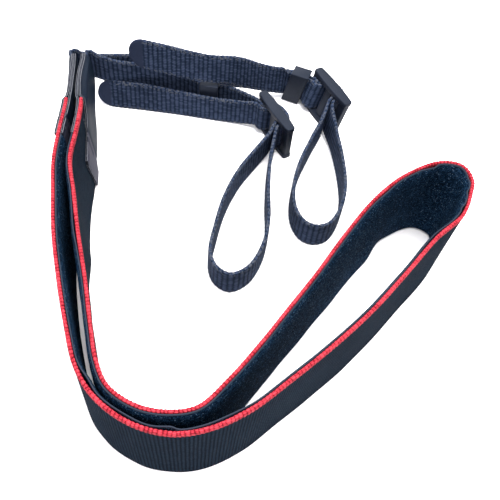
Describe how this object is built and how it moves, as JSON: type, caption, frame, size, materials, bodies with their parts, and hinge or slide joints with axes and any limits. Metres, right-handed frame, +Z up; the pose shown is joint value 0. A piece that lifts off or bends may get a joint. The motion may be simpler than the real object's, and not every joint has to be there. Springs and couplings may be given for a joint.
{
  "type": "camera strap",
  "caption": "Wide woven neck strap with raised coloured edges, folded into a hook and standing on its edge, with narrow webbing ends looped through slide buckles for a camera's lugs",
  "frame": {"origin": "under the middle of the strap's bounding box, on the surface that the strap's lower edge stands on", "axes": "X to the right and Y to the back of the picture's table, Y along the longest extent; Z up, along the band's width, which is the shortest extent"},
  "size_m": [0.134, 0.1546, 0.0361],
  "materials": {
    "woven_face": "ribbed grosgrain weave, matte",
    "edge_stripe": "raised cord-like weave, matte",
    "lining": "short soft nap with a faint sparkle",
    "tab": "smooth synthetic leather, low sheen, pale cut edges",
    "webbing": "cross-ribbed nylon webbing, matte",
    "buckle": "fine matte moulding",
    "keeper": "fine matte moulding"
  },
  "bodies": {
    "root": {"band": "woven_face", "edge_stripe_upper": "edge_stripe", "edge_stripe_lower": "edge_stripe", "lining": "lining", "tab_a_outer": "tab", "tab_a_inner": "tab", "tab_b_outer": "tab", "tab_b_inner": "tab", "webbing_a": "webbing", "webbing_b": "webbing", "triglide_a": "buckle", "triglide_b": "buckle", "keeper_a": "keeper", "keeper_b": "keeper"}
  },
  "joints": []
}
